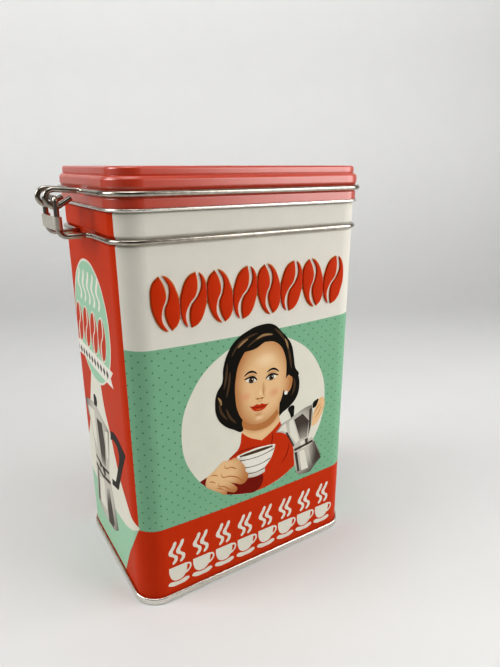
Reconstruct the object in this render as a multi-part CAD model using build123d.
from build123d import *
import math
import os

# Storage tin with a slip-over lid and a wire bail closure. Millimetres.
# Frame: origin at the centre of the base, +Z up. The wide front faces -Y,
# the hinge is on the narrow side at -X and the clasp on the narrow side at +X.
# Sections are drawn flat: x is the distance out from the tin's wall, y is the height.

# ---- driving sizes ----
WIDTH = 110.0
DEPTH = 76.0
CORNER = 10.0
HEIGHT = 180.0
SHEET = 0.3
WIRE = 2.0
RUNNING = 0.08

# ---- wall, neck and rim of the can ----
GROOVE_Z = 155.1
GROOVE_DEPTH = 0.7
GROOVE_FLAT = 1.6
GROOVE_SLOPE = 1.1
GROOVE_BEND = 0.8
SHOULDER_Z = 164.6
SHOULDER_BEND = 0.8
NECK_Z = 166.0
NECK_IN = 1.5
RIM_Z = 178.1
RIM_CURL = 1.6
SIDE_SEAM_X = -41.0
SIDE_SEAM_WIDTH = 4.0
SIDE_SEAM_TOP = 152.0
SIDE_SEAM_BOTTOM = 3.6

# ---- double seam at the base ----
SEAM_GAP = 0.1
SEAM_HEIGHT = 3.1
HOOK_TOP = 2.3
COVER_HOOK_END = 1.3
PANEL_Z = 3.8
CHUCK_BEND = 0.5
PANEL_BEND = 0.8
PANEL_LAP = 4.0
PANEL_IN = 3.5

# ---- lid ----
LID_BOTTOM = 165.2
TOP_BEND = 0.9
PLATEAU_IN = 0.4
PLATEAU_BOTTOM = 177.6
PLATEAU_BEND = 0.3
CREASE_IN = 0.65
CREASE_Z = 177.0
CREASE_BEND = 0.2
BEAD_SHOULDER = (0.35, 176.55)
BEAD_OUT = 1.06
BEAD_TOP = 175.7
BEAD_BOTTOM = 173.4
BEAD_BEND = 0.7
LID_GROOVE_OUT = 0.5
LID_GROOVE_TOP = 172.3
LID_GROOVE_BOTTOM = 170.1
SKIRT_OUT = 0.85
SKIRT_TOP = 169.3
HEM_OUT = 1.71
HEM_TOP = 166.4
HEM_LIP = 0.45
HEM_LIP_BEND = 0.42

# ---- gasket ----
GASKET_BOTTOM = 178.2
GASKET_THICK = 1.45
GASKET_OUT = -0.85
GASKET_WIDE = 2.65
GASKET_ROUND = 0.5

# ---- wires on the hinge side ----
LID_RING_OUT = 1.55
LID_RING_Z = 171.2
BODY_RING_OUT = 0.36
POST_X = -67.1
POST_Y = 9.0
POST_BEND = 3.0
CROSSBAR_Z = 168.95
CROSSBAR_BEND = 1.6
HOOK_X = -66.8
HOOK_Y = 6.6
HOOK_RADIUS = 3.2
TAIL_SLOPE = 31.0
TAIL_X = -60.9
ARM_BEND = 2.3
CLIP_SHEET = 0.6
CLIP_FIT = 0.05
CLIP_WRAP = 170
CLIP_BOTTOM = 157.7
CLIP_TOP = 162.4

# ---- clasp on the other narrow side ----
PIVOT_X = 60.0
PIVOT_Z = GROOVE_Z
EYELET_Y = 12.5
LEVER_Y = 10.0
PIN_END_Y = 14.6
LOOP_Y = 7.4
LOOP_PIN_END_Y = 11.2
LOOP_PIVOT_X = 59.6
LOOP_PIVOT_Z = 149.1
LEVER_WAIST = (61.3, 139.0)
THUMB = (68.0, 127.5)
THUMB_BEND = 3.5
NOSE_TIP_X = 63.6
NOSE_Y = 4.2
NOSE_ROOT_BEND = 1.6
NOSE_TIP_BEND = 2.4
CATCH_GAP = 0.2
PIN_BEND = 1.3
EYELET_BEND = 1.5
LEVER_BEND = 3.0
WAIST_BEND = 8.0
LOOP_BEND = 2.0

HALF_X = WIDTH / 2 - CORNER
HALF_Y = DEPTH / 2 - CORNER
EYE_RADIUS = WIRE + RUNNING
EASE = 0.01  # keeps two bends of a half turn from meeting in a point


def around_tin(section):
    """Carry a flat section once round the tin: four straight runs and four quarter turns."""
    upright = Plane.XZ * Pos(CORNER, 0) * section
    quarter = revolve(upright, Axis.Z, 90)
    corners = [(HALF_X, HALF_Y), (-HALF_X, HALF_Y), (-HALF_X, -HALF_Y), (HALF_X, -HALF_Y)]
    ring = None
    for turn, (x, y) in enumerate(corners):
        run = 2 * HALF_X if turn % 2 == 0 else 2 * HALF_Y
        side = Rot(0, 0, 90) * extrude(upright, run, dir=(0, 1, 0))
        piece = Pos(x, y, 0) * Rot(0, 0, 90 * turn) * (quarter + side)
        ring = piece if ring is None else ring + piece
    return ring


def sheet_section(points, radii):
    """A strip of sheet bent along a line of points, one bend radius for each inner point."""
    return trace(FilletPolyline(*points, radius=radii), SHEET)


def panel(inset, z):
    """A flat rounded panel of sheet, its edge this far in from the wall."""
    outline = RectangleRounded(WIDTH - 2 * inset, DEPTH - 2 * inset, CORNER - inset)
    return Pos(0, 0, z - SHEET / 2) * extrude(outline, SHEET)


def bent_wire(points, radii):
    """Round wire along a line of points, one bend radius for each inner point."""
    path = FilletPolyline(*points, radius=radii)
    start = Plane(origin=path @ 0, z_dir=path % 0)
    return sweep(start * Circle(WIRE / 2), path=path)


def eye(x, y, z):
    """A round eye of wire whose hole lies along Y."""
    return Pos(x, y, z) * Rot(90, 0, 0) * Torus(EYE_RADIUS, WIRE / 2)


def mirrored(points):
    """The same points on the other side of the XZ plane, in the opposite order."""
    return [(x, -y, z) for x, y, z in reversed(points)]


def body_shell():
    half = SHEET / 2
    wall = -half
    layer = SHEET + SEAM_GAP
    hook = wall + 2 * layer
    foot = half + layer
    groove = wall - GROOVE_DEPTH
    flat = GROOVE_FLAT / 2
    neck = -NECK_IN - half
    curl = RIM_CURL - SHEET
    rim = RIM_Z - half
    turn = layer - EASE
    points = [
        (hook, HOOK_TOP),
        (hook, foot),
        (wall, foot),
        (wall, GROOVE_Z - flat - GROOVE_SLOPE),
        (groove, GROOVE_Z - flat),
        (groove, GROOVE_Z + flat),
        (wall, GROOVE_Z + flat + GROOVE_SLOPE),
        (wall, SHOULDER_Z),
        (neck, NECK_Z),
        (neck, rim),
        (neck - curl, rim),
        (neck - curl, rim - curl),
        (neck - curl / 3, rim - curl),
    ]
    small = curl / 2 - EASE
    radii = [turn, turn] + [GROOVE_BEND] * 4 + [SHOULDER_BEND] * 2 + [small] * 3
    shell = around_tin(sheet_section(points, radii))
    return shell + side_seam()


def side_seam():
    """The lapped seam that closes the can's wall, one sheet proud at the back."""
    height = SIDE_SEAM_TOP - SIDE_SEAM_BOTTOM
    strip = Box(SIDE_SEAM_WIDTH, SHEET * 2, height)
    return Pos(SIDE_SEAM_X, DEPTH / 2, SIDE_SEAM_BOTTOM + height / 2) * strip


def base_end():
    half = SHEET / 2
    layer = SHEET + SEAM_GAP
    cover = -half + layer
    outer = -half + 3 * layer
    chuck = -half - layer
    points = [
        (cover, COVER_HOOK_END),
        (cover, SEAM_HEIGHT - half),
        (outer, SEAM_HEIGHT - half),
        (outer, half),
        (chuck, half),
        (chuck, PANEL_Z),
        (-PANEL_LAP, PANEL_Z),
    ]
    turn = layer - EASE
    radii = [turn, turn, CHUCK_BEND, CHUCK_BEND, PANEL_BEND]
    return around_tin(sheet_section(points, radii)) + panel(PANEL_IN, PANEL_Z)


def lid_shell():
    half = SHEET / 2
    top = HEIGHT - half
    bead = BEAD_OUT - half
    groove = LID_GROOVE_OUT - half
    skirt = SKIRT_OUT - half
    hem = HEM_OUT - half
    points = [
        (-PANEL_LAP, top),
        (-PLATEAU_IN - half, top),
        (-PLATEAU_IN - half, PLATEAU_BOTTOM),
        (-CREASE_IN - half, CREASE_Z),
        BEAD_SHOULDER,
        (bead, BEAD_TOP),
        (bead, BEAD_BOTTOM),
        (groove, LID_GROOVE_TOP),
        (groove, LID_GROOVE_BOTTOM),
        (skirt, SKIRT_TOP),
        (skirt, LID_BOTTOM + half),
        (hem, LID_BOTTOM + half),
        (hem, HEM_TOP - half),
        (hem - HEM_LIP, HEM_TOP - half),
    ]
    turn = (hem - skirt) / 2 - EASE
    radii = [TOP_BEND, PLATEAU_BEND, CREASE_BEND] + [BEAD_BEND] * 6 + [turn, turn, HEM_LIP_BEND]
    return around_tin(sheet_section(points, radii)) + panel(PANEL_IN, top)


def lid_gasket():
    section = Pos(GASKET_OUT - GASKET_WIDE / 2, GASKET_BOTTOM + GASKET_THICK / 2)
    section = section * RectangleRounded(GASKET_WIDE, GASKET_THICK, GASKET_ROUND)
    return around_tin(section)


def lid_ring():
    side_x = WIDTH / 2 + LID_RING_OUT
    side_y = DEPTH / 2 + LID_RING_OUT
    back_x = HOOK_X - HOOK_RADIUS
    arm_z = CROSSBAR_Z + HOOK_RADIUS
    slope = math.tan(math.radians(TAIL_SLOPE))
    half_turn = math.radians(90 + TAIL_SLOPE) / 2
    heel_z = CROSSBAR_Z - HOOK_RADIUS * math.tan(half_turn)
    half = [
        (TAIL_X, HOOK_Y, heel_z + (TAIL_X - back_x) * slope),
        (back_x, HOOK_Y, heel_z),
        (back_x, HOOK_Y, arm_z),
        (-side_x, HOOK_Y, LID_RING_Z),
        (-side_x, side_y, LID_RING_Z),
        (side_x, side_y, LID_RING_Z),
        (side_x, NOSE_Y, LID_RING_Z),
        (NOSE_TIP_X, NOSE_Y, LID_RING_Z),
    ]
    hook = HOOK_RADIUS - EASE
    corner = CORNER + LID_RING_OUT
    radii = [hook, hook - EASE, ARM_BEND, corner, corner, NOSE_ROOT_BEND, NOSE_TIP_BEND]
    return bent_wire(half + mirrored(half), radii + radii[::-1])


def body_ring():
    side_x = WIDTH / 2 + BODY_RING_OUT
    side_y = DEPTH / 2 + BODY_RING_OUT
    half = [
        (PIVOT_X - EYE_RADIUS, EYELET_Y, GROOVE_Z),
        (side_x, EYELET_Y, GROOVE_Z),
        (side_x, side_y, GROOVE_Z),
        (-side_x, side_y, GROOVE_Z),
        (-side_x, POST_Y, GROOVE_Z),
        (POST_X, POST_Y, GROOVE_Z),
        (POST_X, POST_Y, CROSSBAR_Z),
    ]
    corner = CORNER + BODY_RING_OUT
    radii = [EYELET_BEND, corner, corner, ARM_BEND, POST_BEND, CROSSBAR_BEND]
    ring = bent_wire(half + mirrored(half), radii + radii[::-1])
    for y in (-EYELET_Y, EYELET_Y):
        ring += eye(PIVOT_X, y, PIVOT_Z)
    return ring


def hinge_clip():
    wrap = WIRE / 2 + CLIP_FIT + CLIP_SHEET / 2
    line = CenterArc((POST_X, -POST_Y), wrap, 180 + CLIP_WRAP, -CLIP_WRAP)
    line += Line((POST_X - wrap, -POST_Y), (POST_X - wrap, POST_Y))
    line += CenterArc((POST_X, POST_Y), wrap, 180, -CLIP_WRAP)
    strip = trace(line, CLIP_SHEET)
    return Pos(0, 0, CLIP_BOTTOM) * extrude(strip, CLIP_TOP - CLIP_BOTTOM)


def clasp_lever():
    half = [
        (PIVOT_X, PIN_END_Y, PIVOT_Z),
        (PIVOT_X, LEVER_Y, PIVOT_Z),
        (LOOP_PIVOT_X + EYE_RADIUS, LEVER_Y, LOOP_PIVOT_Z),
        (LEVER_WAIST[0], LEVER_Y, LEVER_WAIST[1]),
        (THUMB[0], LEVER_Y, THUMB[1]),
    ]
    radii = [PIN_BEND, LEVER_BEND, WAIST_BEND, THUMB_BEND]
    lever = bent_wire(half + mirrored(half), radii + radii[::-1])
    for y in (-LEVER_Y, LEVER_Y):
        lever += eye(LOOP_PIVOT_X, y, LOOP_PIVOT_Z)
    return lever


def catch_loop():
    crossbar_z = LID_RING_Z + WIRE + CATCH_GAP
    half = [
        (LOOP_PIVOT_X, LOOP_PIN_END_Y, LOOP_PIVOT_Z),
        (LOOP_PIVOT_X, LOOP_Y, LOOP_PIVOT_Z),
        (PIVOT_X, LOOP_Y, crossbar_z),
    ]
    radii = [PIN_BEND, LOOP_BEND]
    return bent_wire(half + mirrored(half), radii + radii[::-1])


NODES = {
    "body_shell": body_shell,
    "base_end": base_end,
    "body_ring": body_ring,
    "hinge_clip": hinge_clip,
    "lid_shell": lid_shell,
    "lid_gasket": lid_gasket,
    "lid_ring": lid_ring,
    "clasp_lever": clasp_lever,
    "catch_loop": catch_loop,
}

os.makedirs("parts", exist_ok=True)
for name, make in NODES.items():
    export_step(make(), f"parts/{name}.step")
